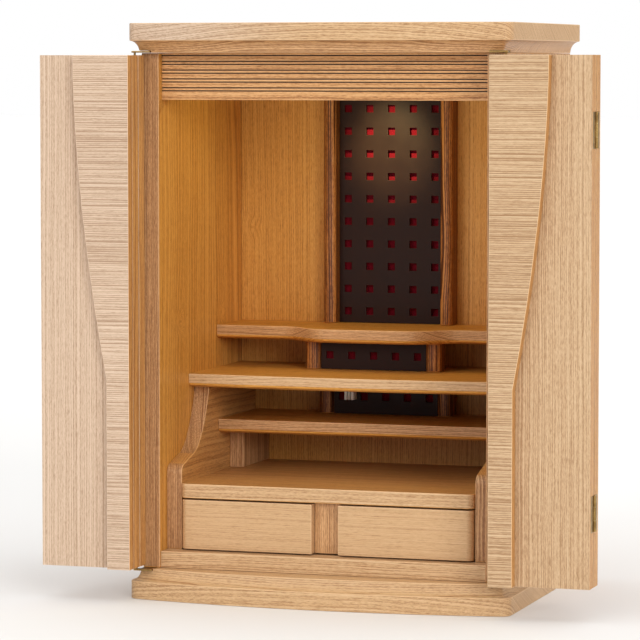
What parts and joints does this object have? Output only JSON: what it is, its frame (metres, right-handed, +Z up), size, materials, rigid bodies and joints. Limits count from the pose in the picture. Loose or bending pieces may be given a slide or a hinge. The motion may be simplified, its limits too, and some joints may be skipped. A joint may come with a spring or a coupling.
{
  "type": "household altar cabinet",
  "caption": "Tabletop household altar cabinet in light wood: folding doors, stepped shelves, two drawers, and black perforated screens between posts.",
  "frame": {"origin": "centre of the whole object's plan box, on the surface that it stands on", "axes": "+Z up, +X to the right seen from the front, +Y to the back; the front faces -Y"},
  "size_m": [0.571, 0.3158, 0.579],
  "materials": {
    "light_wood": "clear satin lacquer on pale ash or oak veneer",
    "warm_wood": "clear satin lacquer, honey brown ash veneer",
    "brown_wood": "clear satin lacquer on strongly figured wood",
    "black_board": "semi-gloss black lacquer",
    "crimson_cloth": "matt crimson cloth",
    "brass": "satin brass",
    "white_plastic": "smooth white plastic"
  },
  "bodies": {
    "cabinet": {"back_panel": "warm_wood", "back_screen": "black_board", "back_screen_backing": "crimson_cloth", "base": "light_wood", "bottom_rail": "light_wood", "case_divider": "light_wood", "case_top": "light_wood", "floor_board": "light_wood", "left_back_post": "brown_wood", "left_curved_side": "brown_wood", "left_drawer_box": "light_wood", "left_drawer_front": "light_wood", "left_lower_pivot": "brass", "left_lower_post": "brown_wood", "left_lower_shelf_support": "light_wood", "left_middle_post": "brown_wood", "left_side_panel": "warm_wood", "left_upper_pivot": "brass", "lintel": "light_wood", "lower_screen": "black_board", "lower_screen_backing": "crimson_cloth", "lower_shelf": "light_wood", "middle_screen": "black_board", "middle_screen_backing": "crimson_cloth", "middle_shelf": "light_wood", "plug_socket": "white_plastic", "recess_panel": "light_wood", "right_back_post": "brown_wood", "right_curved_side": "brown_wood", "right_drawer_box": "light_wood", "right_drawer_front": "light_wood", "right_lower_pivot": "brass", "right_lower_post": "brown_wood", "right_lower_shelf_support": "light_wood", "right_middle_post": "brown_wood", "right_side_panel": "warm_wood", "right_upper_pivot": "brass", "top_board": "light_wood", "upper_shelf": "light_wood"},
    "left_hinge_leaf": {"left_hinge_leaf": "light_wood", "left_lower_hinge_pinned_half": "brass", "left_upper_hinge_pinned_half": "brass"},
    "left_front_leaf": {"left_front_leaf": "light_wood", "left_lower_hinge_front_half": "brass", "left_raised_panel": "light_wood", "left_upper_hinge_front_half": "brass"},
    "right_hinge_leaf": {"right_hinge_leaf": "light_wood", "right_lower_hinge_pinned_half": "brass", "right_upper_hinge_pinned_half": "brass"},
    "right_front_leaf": {"right_front_leaf": "light_wood", "right_lower_hinge_front_half": "brass", "right_raised_panel": "light_wood", "right_upper_hinge_front_half": "brass"}
  },
  "joints": [
    {"name": "left_door", "type": "hinge", "parent": "cabinet", "child": "left_hinge_leaf", "pos_m": [-0.1915, -0.12005, 0.29], "axis": [0, 0, -1], "range_deg": [-180, 0]},
    {"name": "left_fold", "type": "hinge", "parent": "left_hinge_leaf", "child": "left_front_leaf", "pos_m": [-0.28355, -0.12885, 0.29], "axis": [0, 0, -1], "range_deg": [0, 180]},
    {"name": "right_door", "type": "hinge", "parent": "cabinet", "child": "right_hinge_leaf", "pos_m": [0.1915, -0.12005, 0.29], "axis": [0, 0, 1], "range_deg": [-180, 0]},
    {"name": "right_fold", "type": "hinge", "parent": "right_hinge_leaf", "child": "right_front_leaf", "pos_m": [0.28355, -0.12885, 0.29], "axis": [0, 0, 1], "range_deg": [0, 180]}
  ],
  "couplings": [
    {"joint": "left_fold", "follows": "left_door", "ratio": -1},
    {"joint": "right_fold", "follows": "right_door", "ratio": -1}
  ]
}
